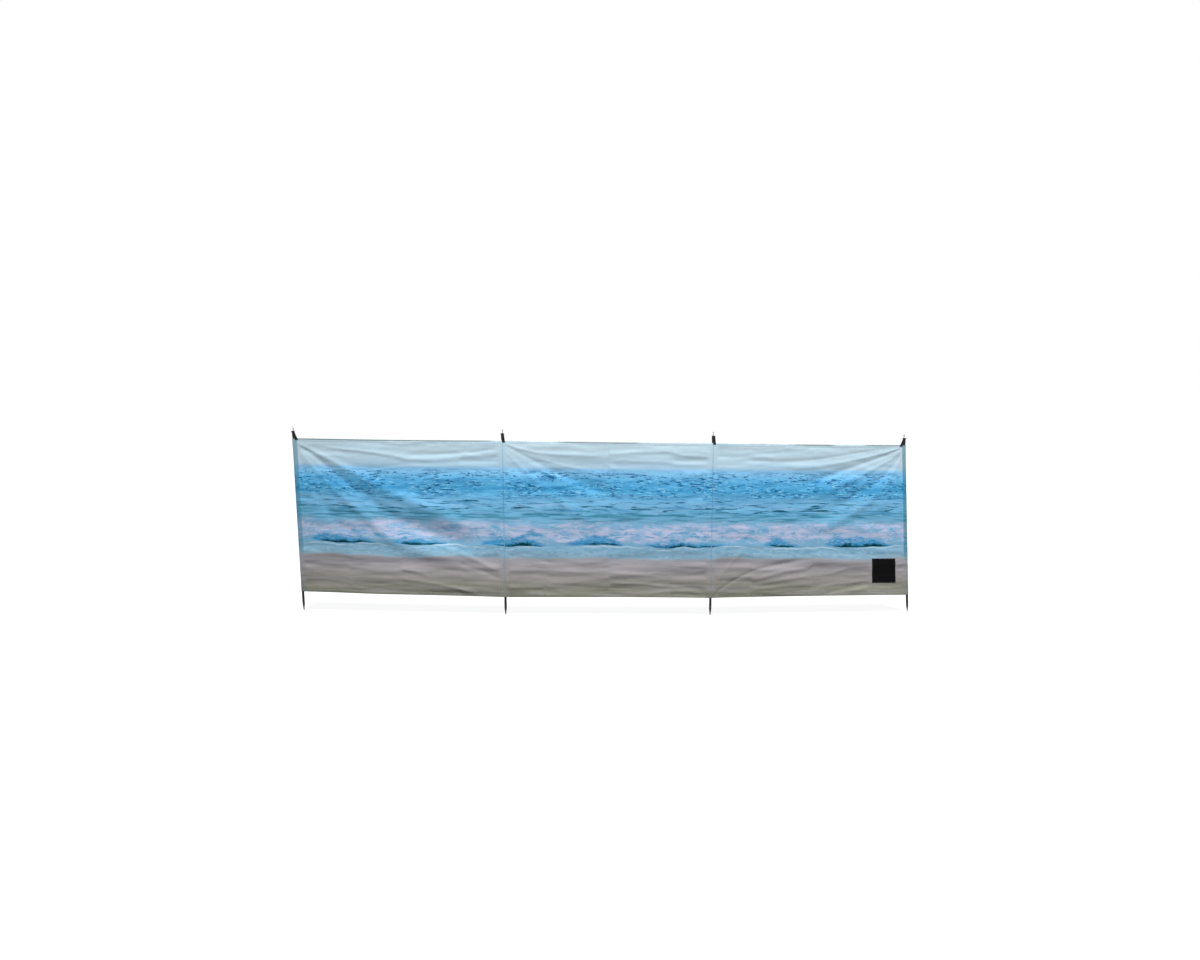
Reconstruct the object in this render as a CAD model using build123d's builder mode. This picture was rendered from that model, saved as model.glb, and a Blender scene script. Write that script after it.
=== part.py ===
from math import radians, sin, tan

from build123d import *
import os

# A beach windbreak: cloth bays stretched between steel poles that are pushed into the ground.
# Millimetres. Z is up, X runs along the windbreak to the right, the printed face looks along -Y.
# The origin is on the blunt foot of the pole that stands plumb.

# Cloth
bay_width = 1600.0        # pole to pole, half way up the cloth
cloth_height = 1200.0
cloth_thickness = 1.0
cloth_foot_gap = 137.0    # bare pole below the cloth, measured along the pole
hem_height = 24.0

# How the poles stand, from left to right, seen from the front
pole_count = 4
plumb_pole = 3            # counted from 1; the origin is on its foot
bay_turn = [5.7, 0.0, -6.6]         # degrees each bay turns in plan, seen from above
pole_lean = [3.3, 1.5, 0.0, 2.8]    # degrees to the left, in the plane of the bay beside it

# Pole
tube_diameter = 19.0
tube_wall = 1.2
tube_bottom = 75.0        # height of the tube's lower end along the pole
tube_above_cloth = 50.0
spike_shoulder = 18.0     # diameter of the spike below the tube
spike_taper = 50.0
spike_tip = 5.0           # diameter of the blunt tip
spigot_length = 55.0      # part of the spike that is pressed into the tube

# Cap and pin at the pole's top
cap_diameter = 22.0
cap_above_cloth = 15.0    # bare tube between the cloth and the cap
cap_roof = 3.0
cap_plug = 22.0
pin_diameter = 7.0
pin_neck = 6.0            # the pin is thinner in the cap and where the eyelet sits
pin_in_cap = 20.0
pin_out = 33.0
pin_chamfer = 1.0
neck_play = 1.0           # bare neck above the eyelet

# Pocket that holds the pole behind the cloth
pocket_clearance = 0.5
flange_reach = 24.0       # from the pole's axis to the end of the sewn flange

# Webbing tab with its eyelet
tab_width = 25.0
tab_thickness = 2.0
tab_overlap = 20.0        # sewn length on the cloth
tab_shift = [36.0, 9.0, 9.0, -36.0]  # how far each tab's sewn end lies to the right of its pole
eyelet_bore = 8.0
eyelet_barrel = 11.0
eyelet_flange = 17.0
eyelet_sheet = 0.8

# Sewn-on patch, kept blank
patch_size = 196.0
patch_from_pole = 98.0
patch_from_bottom = 98.0
patch_thickness = 1.0

tube_radius = tube_diameter / 2
back_of_cloth = tube_radius + pocket_clearance
front_of_cloth = back_of_cloth + cloth_thickness
cloth_bottom = cloth_foot_gap
cloth_top = cloth_foot_gap + cloth_height
tube_top = cloth_top + tube_above_cloth
cap_bottom = cloth_top + cap_above_cloth
cap_top = tube_top + cap_roof
tab_seat = cap_top + eyelet_sheet
tab_front = front_of_cloth + tab_thickness
neck_top = tab_seat + tab_thickness + eyelet_sheet + neck_play
up = Vector(0, 0, 1)


def heading(bay):
    """Direction along the ground from a bay's left pole to its right pole."""
    return Vector(1, 0, 0).rotate(Axis.Z, -bay_turn[bay])


def foot_spacing(bay):
    """Distance between the feet of a bay's poles, which spread or close towards the top."""
    spread = tan(radians(pole_lean[bay])) - tan(radians(pole_lean[bay + 1]))
    return bay_width - spread * (cloth_bottom + cloth_top) / 2


# Bays and poles are set out from the plumb pole, so that each bay is a true plane that
# holds both of its poles.
plumb = plumb_pole - 1
foot = [None] * pole_count
rise = [None] * pole_count
back = [None] * (pole_count - 1)
foot[plumb] = Vector(0, 0, 0)
rise[plumb] = up

for bay in range(plumb - 1, -1, -1):
    back[bay] = rise[bay + 1].cross(heading(bay)).normalized()
    turn = pole_lean[bay] - pole_lean[bay + 1]
    rise[bay] = rise[bay + 1].rotate(Axis((0, 0, 0), back[bay]), -turn)
    foot[bay] = foot[bay + 1] - heading(bay) * foot_spacing(bay)

for bay in range(plumb, pole_count - 1):
    back[bay] = rise[bay].cross(heading(bay)).normalized()
    turn = pole_lean[bay + 1] - pole_lean[bay]
    rise[bay + 1] = rise[bay].rotate(Axis((0, 0, 0), back[bay]), -turn)
    foot[bay + 1] = foot[bay] + heading(bay) * foot_spacing(bay)

# A leaning pole is lifted a hair, so that the low edge of its blunt tip is level with the
# plumb pole's foot.
for pole in range(pole_count):
    low_edge = sin(radians(abs(pole_lean[pole]))) * spike_tip / 2
    foot[pole] = foot[pole] + rise[pole] * low_edge


def along(pole, height):
    """Point on a pole's axis at a height measured along the pole."""
    return foot[pole] + rise[pole] * height


def across(pole, bay, height):
    """Plane square to a pole: X runs right along the bay, Y to the back of the cloth."""
    right = back[bay].cross(rise[pole]).normalized()
    return Plane(origin=along(pole, height), x_dir=right, z_dir=rise[pole])


def bay_plane(bay, depth):
    """Plane of a bay, a depth behind its poles: X runs right, Y up, Z to the front."""
    origin = foot[bay] + back[bay] * depth
    return Plane(origin=origin, x_dir=heading(bay), z_dir=-back[bay])


def bay_point(bay, pole, height, inset):
    """A pole's height in its bay's own plane, moved sideways by the inset."""
    right = back[bay].cross(rise[pole]).normalized()
    flat = bay_plane(bay, 0).to_local_coords(along(pole, height) + right * inset)
    return (flat.X, flat.Y)


def bay_strip(bay, bottom, top, left_inset, right_inset):
    """Outline of a strip of cloth between a bay's two poles."""
    return [
        bay_point(bay, bay, bottom, left_inset),
        bay_point(bay, bay + 1, bottom, right_inset),
        bay_point(bay, bay + 1, top, right_inset),
        bay_point(bay, bay, top, left_inset),
    ]


def bays_at(pole):
    """The bays on the left and on the right of a pole; an end pole has the same one twice."""
    left = max(pole - 1, 0)
    right = min(pole, pole_count - 2)
    return left, right


def mitre(pole):
    """Plane through a pole's axis, where the cloth of its two bays meets, facing right."""
    left, right = bays_at(pole)
    middle = (back[left] + back[right]).normalized()
    return Plane(origin=foot[pole], z_dir=middle.cross(rise[pole]).normalized())


def sides_of(pole):
    """Sides of a pole that carry cloth: -1 or 1, its bay, and the bay's turn about the pole."""
    left, right = bays_at(pole)
    bend = (back[left].get_signed_angle(back[right], -rise[pole])) if left != right else 0
    sides = []
    if pole > 0:
        sides.append((-1, left, bend))
    if pole < pole_count - 1:
        sides.append((1, right, 0))
    return sides


os.makedirs("parts", exist_ok=True)

# The steel poles and what is fixed to them
for pole in range(pole_count):
    number = pole + 1
    left_bay, right_bay = bays_at(pole)
    sides = sides_of(pole)
    opened_past = back_of_cloth / 2 if len(sides) == 2 else 0

    with BuildPart() as pole_tube:
        with BuildSketch(across(pole, right_bay, tube_bottom)):
            Circle(tube_radius)
            Circle(tube_radius - tube_wall, mode=Mode.SUBTRACT)
        extrude(amount=tube_top - tube_bottom)

    with BuildPart() as ground_spike:
        with BuildSketch(across(pole, right_bay, 0)):
            Circle(spike_tip / 2)
        with BuildSketch(across(pole, right_bay, spike_taper)):
            Circle(spike_shoulder / 2)
        loft()
        with BuildSketch(across(pole, right_bay, spike_taper)):
            Circle(spike_shoulder / 2)
        extrude(amount=tube_bottom - spike_taper)
        with BuildSketch(across(pole, right_bay, tube_bottom)):
            Circle(tube_radius - tube_wall)
        extrude(amount=spigot_length)

    with BuildPart() as top_cap:
        with BuildSketch(across(pole, right_bay, cap_bottom)):
            Circle(cap_diameter / 2)
            Circle(tube_radius, mode=Mode.SUBTRACT)
        extrude(amount=tube_top - cap_bottom)
        with BuildSketch(across(pole, right_bay, tube_top - cap_plug)):
            Circle(tube_radius - tube_wall)
        extrude(amount=cap_plug)
        with BuildSketch(across(pole, right_bay, tube_top)):
            Circle(cap_diameter / 2)
        extrude(amount=cap_roof)
        with BuildSketch(across(pole, right_bay, cap_top - pin_in_cap)):
            Circle(pin_neck / 2)
        extrude(amount=pin_in_cap, mode=Mode.SUBTRACT)

    with BuildPart() as top_pin:
        with BuildSketch(across(pole, right_bay, cap_top - pin_in_cap)):
            Circle(pin_neck / 2)
        extrude(amount=neck_top - cap_top + pin_in_cap)
        with BuildSketch(across(pole, right_bay, neck_top)):
            Circle(pin_diameter / 2)
        extrude(amount=cap_top + pin_out - neck_top)
        pin_end = top_pin.faces().sort_by(Axis.Z)[-1]
        chamfer(pin_end.edges(), length=pin_chamfer)

    # The tab lies on the cap round the pin, bends down in front and is sewn to the cloth.
    with BuildPart() as tab:
        with BuildSketch(across(pole, right_bay, tab_seat)):
            Circle(tab_width / 2)
            with Locations((0, -tab_front / 2)):
                Rectangle(tab_width, tab_front)
        extrude(amount=tab_thickness)
        drop_plane = Plane(
            origin=along(pole, 0) - back[right_bay] * front_of_cloth,
            x_dir=across(pole, right_bay, 0).x_dir,
            z_dir=-back[right_bay],
        )
        half = tab_width / 2
        sewn_end = cloth_top - tab_overlap
        with BuildSketch(drop_plane):
            Polygon(
                (-half + tab_shift[pole], sewn_end),
                (half + tab_shift[pole], sewn_end),
                (half, tab_seat + tab_thickness),
                (-half, tab_seat + tab_thickness),
            )
        extrude(amount=tab_thickness)
        with BuildSketch(across(pole, right_bay, tab_seat)):
            Circle(eyelet_barrel / 2)
        extrude(amount=tab_thickness, mode=Mode.SUBTRACT)

    with BuildPart() as eyelet:
        with BuildSketch(across(pole, right_bay, cap_top)):
            Circle(eyelet_flange / 2)
        extrude(amount=eyelet_sheet)
        with BuildSketch(across(pole, right_bay, tab_seat)):
            Circle(eyelet_barrel / 2)
        extrude(amount=tab_thickness)
        with BuildSketch(across(pole, right_bay, tab_seat + tab_thickness)):
            Circle(eyelet_flange / 2)
        extrude(amount=eyelet_sheet)
        with BuildSketch(across(pole, right_bay, cap_top)):
            Circle(eyelet_bore / 2)
        extrude(amount=tab_thickness + 2 * eyelet_sheet, mode=Mode.SUBTRACT)

    # The pocket goes round the back of the pole. On each side that has a bay it ends in a
    # flange on the back of the cloth; at an end pole it wraps round to the front instead.
    with BuildPart() as sleeve:
        with BuildSketch(across(pole, right_bay, cloth_bottom)):
            Circle(front_of_cloth)
            Circle(back_of_cloth, mode=Mode.SUBTRACT)
            for side, bay, bend in sides:
                Polygon(
                    (-side * opened_past, -2 * front_of_cloth),
                    (side * 2 * front_of_cloth, -2 * front_of_cloth),
                    (side * 2 * front_of_cloth, 0),
                    (-side * opened_past, 0),
                    rotation=bend,
                    mode=Mode.SUBTRACT,
                )
            for side, bay, bend in sides:
                Polygon(
                    (side * back_of_cloth, 0),
                    (side * front_of_cloth, 0),
                    (side * front_of_cloth, cloth_thickness - back_of_cloth),
                    (side * flange_reach, cloth_thickness - back_of_cloth),
                    (side * flange_reach, -back_of_cloth),
                    (side * back_of_cloth, -back_of_cloth),
                    rotation=bend,
                )
        extrude(amount=cloth_height)

    pole_tube.part.label = f"pole_tube_{number}"
    ground_spike.part.label = f"ground_spike_{number}"
    top_cap.part.label = f"top_cap_{number}"
    top_pin.part.label = f"top_pin_{number}"
    tab.part.label = f"tab_{number}"
    eyelet.part.label = f"eyelet_{number}"
    sleeve.part.label = f"sleeve_{number}"
    for piece in (pole_tube, ground_spike, top_cap, top_pin, tab, eyelet, sleeve):
        export_step(piece.part, f"parts/{piece.part.label}.step")

# The cloth bays, with a turned hem along the top and the bottom of each
for bay in range(pole_count - 1):
    number = bay + 1

    with BuildPart() as cloth:
        with BuildSketch(bay_plane(bay, -back_of_cloth)):
            Polygon(bay_strip(bay, cloth_bottom, cloth_top, -flange_reach, flange_reach))
        extrude(amount=cloth_thickness)
        split(bisect_by=mitre(bay), keep=Keep.TOP)
        split(bisect_by=mitre(bay + 1), keep=Keep.BOTTOM)

    with BuildPart() as top_hem:
        with BuildSketch(bay_plane(bay, -back_of_cloth)):
            Polygon(bay_strip(bay, cloth_top - hem_height, cloth_top, flange_reach, -flange_reach))
        extrude(amount=-cloth_thickness)

    with BuildPart() as bottom_hem:
        with BuildSketch(bay_plane(bay, -back_of_cloth)):
            Polygon(bay_strip(bay, cloth_bottom, cloth_bottom + hem_height, flange_reach, -flange_reach))
        extrude(amount=-cloth_thickness)

    cloth.part.label = f"cloth_{number}"
    top_hem.part.label = f"top_hem_{number}"
    bottom_hem.part.label = f"bottom_hem_{number}"
    for piece in (cloth, top_hem, bottom_hem):
        export_step(piece.part, f"parts/{piece.part.label}.step")

# The blank patch on the last bay, near its right-hand pole
last_bay = pole_count - 2
patch_right = bay_point(last_bay, pole_count - 1, cloth_bottom + patch_from_bottom, -patch_from_pole)
with BuildPart() as label_patch:
    with BuildSketch(bay_plane(last_bay, -front_of_cloth)):
        with Locations((patch_right[0] - patch_size / 2, patch_right[1] + patch_size / 2)):
            RectangleRounded(patch_size, patch_size, 4)
    extrude(amount=patch_thickness)
label_patch.part.label = "label_patch"
export_step(label_patch.part, "parts/label_patch.step")
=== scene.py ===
"""Looks of the beach windbreak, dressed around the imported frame. Metres, Z up, printed face to -Y."""
import math

import bpy
import numpy as np
from mathutils import Matrix

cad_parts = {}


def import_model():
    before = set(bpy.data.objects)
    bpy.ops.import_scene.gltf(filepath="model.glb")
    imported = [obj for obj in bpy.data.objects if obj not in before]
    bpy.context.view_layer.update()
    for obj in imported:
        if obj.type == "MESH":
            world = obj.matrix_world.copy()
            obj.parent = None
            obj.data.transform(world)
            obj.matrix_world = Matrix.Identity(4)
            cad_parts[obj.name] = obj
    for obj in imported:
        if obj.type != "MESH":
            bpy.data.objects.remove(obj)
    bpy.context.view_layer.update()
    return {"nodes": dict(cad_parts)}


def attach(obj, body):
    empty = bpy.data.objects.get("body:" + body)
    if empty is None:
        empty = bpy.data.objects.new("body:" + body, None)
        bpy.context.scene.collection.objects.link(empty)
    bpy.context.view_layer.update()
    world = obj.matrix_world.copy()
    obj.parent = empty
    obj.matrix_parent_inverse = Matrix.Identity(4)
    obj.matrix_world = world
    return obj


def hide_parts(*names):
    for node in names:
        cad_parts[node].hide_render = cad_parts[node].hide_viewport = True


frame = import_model()
scene = bpy.context.scene

# The same set-out as the model: pole feet and leans, left to right.
BAY_WIDTH = 1.6
CLOTH_HEIGHT = 1.2
FOOT_GAP = 0.137
CLOTH_TOP = FOOT_GAP + CLOTH_HEIGHT
CAP_TOP = CLOTH_TOP + 0.053
BAY_TURN = (5.7, 0.0, -6.6)
POLE_LEAN = (3.3, 1.5, 0.0, 2.8)
PLUMB = 2
TIP_RADIUS = 0.0025
MIDDLE = 0.0105  # from a pole's axis to the middle of the cloth before it
CLOTH_T = 0.0007
LAYER = 0.00075  # from the middle of one sewn layer to the next
FLANGE = 0.024
HEM = 0.024
U_SPAN = 1.62  # cloth from pole to pole, with its slack
SEAM_U = tuple(U_SPAN * k for k in range(4))
CREASES = ((0.235, 0.50, 0.79), (0.205, 0.503, 0.81), (0.20, 0.505, 0.79))  # of each bay's width


def unit(v):
    """A vector, or each vector of an array, made 1 long."""
    v = np.asarray(v, float)
    return v / np.linalg.norm(v, axis=-1, keepdims=True)


def turned(v, axis, degrees):
    axis = unit(axis)
    a = math.radians(degrees)
    return v * math.cos(a) + np.cross(axis, v) * math.sin(a) + axis * (axis @ v) * (1 - math.cos(a))


def set_out():
    """Feet, pole directions, bay headings and bay backs, as the model works them out."""
    along = [turned(np.array([1.0, 0, 0]), [0, 0, 1], -a) for a in BAY_TURN]
    foot, rise, back = {PLUMB: np.zeros(3)}, {PLUMB: np.array([0, 0, 1.0])}, {}
    lean = [math.radians(a) for a in POLE_LEAN]
    for known, new in ((PLUMB, 1), (1, 0), (PLUMB, 3)):
        b = min(known, new)
        back[b] = unit(np.cross(rise[known], along[b]))
        rise[new] = turned(rise[known], back[b], POLE_LEAN[known] - POLE_LEAN[new])
        spread = math.tan(lean[b]) - math.tan(lean[b + 1])
        spacing = BAY_WIDTH - spread * (FOOT_GAP + CLOTH_HEIGHT / 2)
        foot[new] = foot[known] + along[b] * spacing * (new - known)
    for p in range(4):
        foot[p] = foot[p] + rise[p] * math.sin(abs(lean[p])) * TIP_RADIUS
    return foot, rise, along, back


FOOT, RISE, ALONG, BACK = set_out()
UPWARD = [np.cross(ALONG[b], BACK[b]) for b in range(3)]


def seam_back(p):
    """The way straight back at a pole: halfway between its two bays, so that their cloths meet."""
    if p in (0, 3):
        return BACK[min(p, 2)]
    half = unit(BACK[p - 1] + BACK[p])
    return half / (half @ BACK[p])


SEAM_BACK = [seam_back(p) for p in range(4)]


def pole_at(p, h):
    return FOOT[p] + RISE[p] * h[..., None]


# Shader helpers

class Value:
    """A shader socket that can be added to, taken from, multiplied and divided."""

    def __init__(self, shader, socket):
        self.shader, self.socket = shader, socket

    def __add__(self, other):
        return self.shader.calc("ADD", self, other)

    def __sub__(self, other):
        return self.shader.calc("SUBTRACT", self, other)

    def __mul__(self, other):
        return self.shader.calc("MULTIPLY", self, other)

    def __truediv__(self, other):
        return self.shader.calc("DIVIDE", self, other)


class Shader:
    """A small builder for a node tree. What is put in is a number, a tuple, a socket or a Value."""

    def __init__(self, owner):
        owner.use_nodes = True
        self.tree = owner.node_tree
        self.tree.nodes.clear()

    def put(self, socket, value):
        if isinstance(value, Value):
            value = value.socket
        if isinstance(value, bpy.types.NodeSocket):
            self.tree.links.new(value, socket)
        elif isinstance(value, tuple) and len(value) == 3 and socket.type == "RGBA":
            socket.default_value = (*value, 1.0)
        else:
            socket.default_value = value

    def node(self, kind, inputs=(), **settings):
        n = self.tree.nodes.new("ShaderNode" + kind)
        for key, value in settings.items():
            setattr(n, key, value)
        for key, value in dict(inputs).items():
            self.put(n.inputs[key], value)
        return n

    def value(self, kind, inputs=(), output=0, **settings):
        return Value(self, self.node(kind, inputs, **settings).outputs[output])

    def calc(self, operation, a, b=0.0):
        return self.value("Math", {0: a, 1: b}, operation=operation)

    def step(self, value, low, high, out_low=0.0, out_high=1.0):
        return self.value("MapRange", {0: value, 1: low, 2: high, 3: out_low, 4: out_high},
                          interpolation_type="SMOOTHSTEP")

    def band(self, value, start, full, end, fading):
        """1 between full and fading, falling to 0 at the start and the end."""
        return self.step(value, start, full) * self.step(value, end, fading)

    def bell(self, value, centre, half_width):
        """1 at the centre, falling smoothly to 0 at half_width to either side."""
        off = self.calc("ABSOLUTE", self.calc("SUBTRACT", value, centre))
        return self.step(off, 0.0, half_width, 1.0, 0.0)

    def noise(self, vector, scale, detail=3.0, rough=0.55, warp=0.0, shift=(0.0, 0.0, 0.0)):
        """Noise in a space scaled by a tuple, so that it can be drawn out along an axis."""
        place = self.value("Mapping", {0: vector, 1: shift, 3: scale})
        return self.value("TexNoise", {"Vector": place, "Scale": 1.0, "Detail": detail,
                                       "Roughness": rough, "Distortion": warp})

    def blend(self, factor, a, b, kind="MIX"):
        return self.value("Mix", {0: factor, 6: a, 7: b}, 2, data_type="RGBA", blend_type=kind)

    def ramp(self, factor, stops):
        n = self.node("ValToRGB", {0: factor})
        elements = n.color_ramp.elements
        while len(elements) < len(stops):
            elements.new(1.0)
        for element, (place, *colour) in zip(elements, stops):
            element.position = place
            element.color = (*srgb(*colour), 1.0)
        return Value(self, n.outputs[0])

    def seen(self):
        """1 for the rays that show what they meet: from the camera, mirrored or let through."""
        ray = self.node("LightPath").outputs
        shown = self.calc("MAXIMUM", ray["Is Camera Ray"], ray["Is Glossy Ray"])
        return self.calc("MAXIMUM", shown, ray["Is Transmission Ray"])


def srgb(r, g, b):
    """A colour written as it looks on screen, 0 to 255, turned into the shader's linear values."""
    out = []
    for c in (r, g, b):
        c /= 255
        out.append(c / 12.92 if c <= 0.04045 else ((c + 0.055) / 1.055) ** 2.4)
    return tuple(out)


class Surface(Shader):
    """A material with one principled surface, and a colour that is painted layer on layer."""

    def __init__(self, name):
        self.material = bpy.data.materials.new(name)
        super().__init__(self.material)
        self.bsdf = self.node("BsdfPrincipled")
        self.out = self.node("OutputMaterial", {"Surface": self.bsdf.outputs[0]})
        self.colour = None

    def flat_map(self):
        """The flat cloth, webbing or patch: the whole map, then metres along and metres up."""
        flat = self.value("UVMap", uv_map="flat")
        parts = self.node("SeparateXYZ", {0: flat}).outputs
        return flat, Value(self, parts[0]), Value(self, parts[1])

    def place(self):
        return self.value("TexCoord", output="Object")

    def paint(self, colour, *factors):
        """Lay a screen colour or a value over the colour, as strongly as the factors' product."""
        if isinstance(colour, tuple):
            colour = srgb(*colour)
        self.colour = self.blend(math.prod(factors[1:], start=factors[0]), self.colour, colour)

    def dim(self, tone, factor):
        self.colour = self.blend(factor, self.colour, (tone, tone, tone), "MULTIPLY")

    def set(self, **values):
        for key, value in values.items():
            self.put(self.bsdf.inputs[key.replace("_", " ")], value)

    def finish(self, height, distance, strength, **values):
        """Put the colour, the bump and the values on the surface. Gives the material."""
        bump = self.value("Bump", {"Height": height, "Distance": distance, "Strength": strength})
        self.set(Base_Color=self.colour, Normal=bump, **values)
        return self.material


# The print: level is the height as a share of the cloth's, then the colour as it looks on screen.
BANDS = (
    (0.00, 123, 125, 111), (0.06, 133, 133, 122), (0.12, 145, 142, 139), (0.20, 151, 148, 154),
    (0.243, 150, 151, 159), (0.256, 132, 165, 184), (0.29, 126, 166, 191), (0.35, 116, 164, 194),
    (0.40, 120, 169, 198), (0.48, 116, 171, 204), (0.53, 106, 168, 204), (0.60, 120, 180, 218),
    (0.69, 68, 155, 203), (0.76, 98, 178, 228), (0.795, 136, 199, 240), (0.822, 142, 194, 231),
    (0.838, 166, 198, 218), (0.90, 178, 204, 218), (1.00, 188, 212, 224))


class Seascape(Surface):
    """Bands of sky, sea, surf, wash and sand, drawn along the flat cloth."""

    def __init__(self, name):
        super().__init__(name)
        self.flat, self.run, self.up = self.flat_map()
        roll = self.mottle(1.9, 0.6, 2, 0.5)
        self.lap = self.mottle(5.5, 1.5, 3, 0.5, shift=(3.1, 0))
        wander = (roll - 0.5) * 0.075 + (self.lap - 0.5) * 0.028
        # the horizon is level; the shore line wanders
        self.level = (self.up + wander * self.step(self.up, 0.62, 0.30)) / CLOTH_HEIGHT
        swing = self.mottle(2.2, 0.1, 2, 0.5, shift=(5, 0))
        self.surf = self.level + (swing - 0.5) * 0.05
        self.colour = self.ramp(self.level, BANDS)

    def mottle(self, along, up, detail, rough, warp=0.0, shift=(0, 0)):
        """Noise with about so many marks to the metre along the cloth and up it."""
        return self.noise(self.flat, (along, up, 1), detail, rough, warp, (*shift, 0))


def sky(s):
    haze = s.mottle(1.3, 7, 4, 0.6, shift=(0, 2.2))
    s.paint((204, 221, 228), s.step(s.level, 0.826, 0.845), s.step(haze, 0.42, 0.75, 0, 0.35))


def sea(s):
    """Swells, then dark and light flecks in herds, then dashes and a trough nearer the surf."""
    level = s.level
    water = s.band(level, 0.50, 0.56, 0.835, 0.80)
    far = s.band(level, 0.615, 0.665, 0.825, 0.79)
    near = s.band(level, 0.505, 0.54, 0.67, 0.61)
    swell = s.mottle(5, 34, 5, 0.62, warp=0.6)
    s.paint((110, 188, 230), water, s.step(swell, 0.50, 0.66, 0, 0.60))
    s.paint((34, 118, 168), water, s.step(swell, 0.50, 0.36, 0, 0.55))
    herd = (s.mottle(4.2, 13, 2, 0.5, shift=(7, 3)) - 0.5) * 0.40
    fleck = s.mottle(19, 80, 5, 0.66, warp=0.35, shift=(1.7, 0)) + herd
    s.paint((12, 84, 134), far, s.step(fleck, 0.54, 0.60), 0.85)
    spark = s.mottle(18, 80, 5, 0.66, warp=0.35, shift=(0, 9)) + herd * 0.5
    s.paint((138, 208, 242), far, s.step(spark, 0.545, 0.62), 0.72)
    veil = s.mottle(3, 26, 4, 0.6, shift=(9, 1))
    s.paint((146, 188, 222), near, s.step(veil, 0.5, 0.68, 0, 0.50))
    dash = s.mottle(6.5, 66, 4, 0.55, warp=0.5, shift=(4, 4)) + s.bell(level, 0.568, 0.024) * 0.055
    s.paint((40, 112, 142), near, s.step(dash, 0.56, 0.62, 0, 0.60))
    s.paint((16, 66, 84), near, s.step(dash, 0.625, 0.665, 0, 0.85))
    trough = s.band(level, 0.465, 0.50, 0.58, 0.53)
    deep = s.mottle(4, 48, 4, 0.6, warp=0.4, shift=(2, 6))
    s.paint((42, 118, 142), trough, s.step(deep, 0.44, 0.62, 0, 0.75))


def foam(s):
    """Soft banks of foam over blue water."""
    band = s.band(s.surf, 0.335, 0.36, 0.515, 0.455)
    bank = s.mottle(4.6, 13, 6, 0.60, warp=0.7, shift=(0, 5)) + s.bell(s.surf, 0.418, 0.125) * 0.28
    tint = s.mottle(7, 24, 4, 0.6, shift=(3, 8))
    white = s.blend(s.step(tint, 0.35, 0.65), srgb(126, 165, 200), srgb(190, 191, 216))
    s.paint(white, s.step(bank, 0.56, 0.76), band, 0.86)
    spray = s.mottle(22, 60, 4, 0.65, warp=1.0, shift=(4, 2))
    s.paint((190, 198, 222), band, s.step(spray, 0.52, 0.64, 0, 0.42))
    hole = s.mottle(8, 26, 4, 0.6, warp=1.2, shift=(6, 2))
    s.paint((54, 138, 180), s.bell(s.surf, 0.400, 0.085), s.step(hole, 0.53, 0.63), 0.76)


def breakers(s):
    """A row of waves, each with a blue face and a dark, tapering foot, and a bright edge below."""
    drift = s.mottle(1.1, 0.1, 1, 0.5, shift=(2.6, 0))
    beat = s.run * 1.46 + (drift - 0.5) * 1.5
    place = s.calc("FRACT", beat)
    chance = s.value("TexWhiteNoise", {"W": s.calc("FLOOR", beat)}, noise_dimensions="1D")
    size = chance * 0.5 + 0.65
    coarse = s.mottle(9, 40, 6, 0.72, warp=0.6, shift=(1, 4)) - 0.5
    fine = s.mottle(34, 110, 4, 0.7, warp=0.8, shift=(3, 1)) - 0.5
    lift = s.surf - ((place - 0.5) * -0.014 + 0.330)
    above = s.step(lift + fine * 0.008, -0.002, 0.002)
    hump = s.band(place, 0.04, 0.34, 0.92, 0.40) * size
    crown = hump * 0.062 + coarse * 0.10
    face = above * s.step(lift - crown, 0.010, -0.022) * s.step(hump, 0.02, 0.30)
    s.paint((34, 132, 182), face, s.step(fine, 0.10, -0.08, 0.40, 0.95))
    toe = s.band(place, 0.20, 0.42, 0.80, 0.46) * size
    broken = s.step(s.mottle(7, 12, 4, 0.6, warp=0.4, shift=(6, 6)), 0.34, 0.60, 0.25, 1.0)
    foot = lift + coarse * 0.020 + fine * 0.014 - toe * broken * 0.023
    shade = above * s.step(foot, 0.014, -0.008) * s.step(toe, 0.05, 0.25)
    s.paint((8, 92, 128), shade, 0.88)
    core = shade * s.step(foot + fine * 0.03, 0.005, -0.011)
    s.paint((3, 46, 44), core, s.step(broken, 0.25, 1.0, 0.70, 0.96))
    edge = s.bell(s.surf + (s.lap - 0.5) * 0.035, 0.319, 0.0075)
    gaps = s.mottle(3.1, 0.5, 3, 0.6, shift=(2, 7))
    s.paint((184, 210, 226), edge, s.step(gaps, 0.40, 0.60, 0.04, 0.80))


def shore(s):
    """Thin water with lace, then sand with soft streaks and grain."""
    wash = s.band(s.level, 0.252, 0.262, 0.328, 0.315)
    lace = s.mottle(12, 40, 5, 0.65, warp=1.4, shift=(8, 8))
    s.paint((158, 188, 208), wash, s.step(lace, 0.50, 0.64, 0, 0.5))
    s.paint((88, 142, 168), wash, s.step(lace, 0.48, 0.36, 0, 0.5))
    sand = s.step(s.level, 0.248, 0.238)
    streak = s.mottle(1.8, 22, 4, 0.6, warp=0.5, shift=(1, 1))
    s.paint((168, 162, 168), sand, s.step(streak, 0.42, 0.72, 0, 0.45))
    s.paint((106, 104, 98), sand, s.step(streak, 0.50, 0.28, 0, 0.45))
    grain = s.mottle(420, 420, 2, 0.7)
    s.paint((104, 100, 92), sand, s.step(grain, 0.35, 0.7, 0, 0.14))


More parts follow.
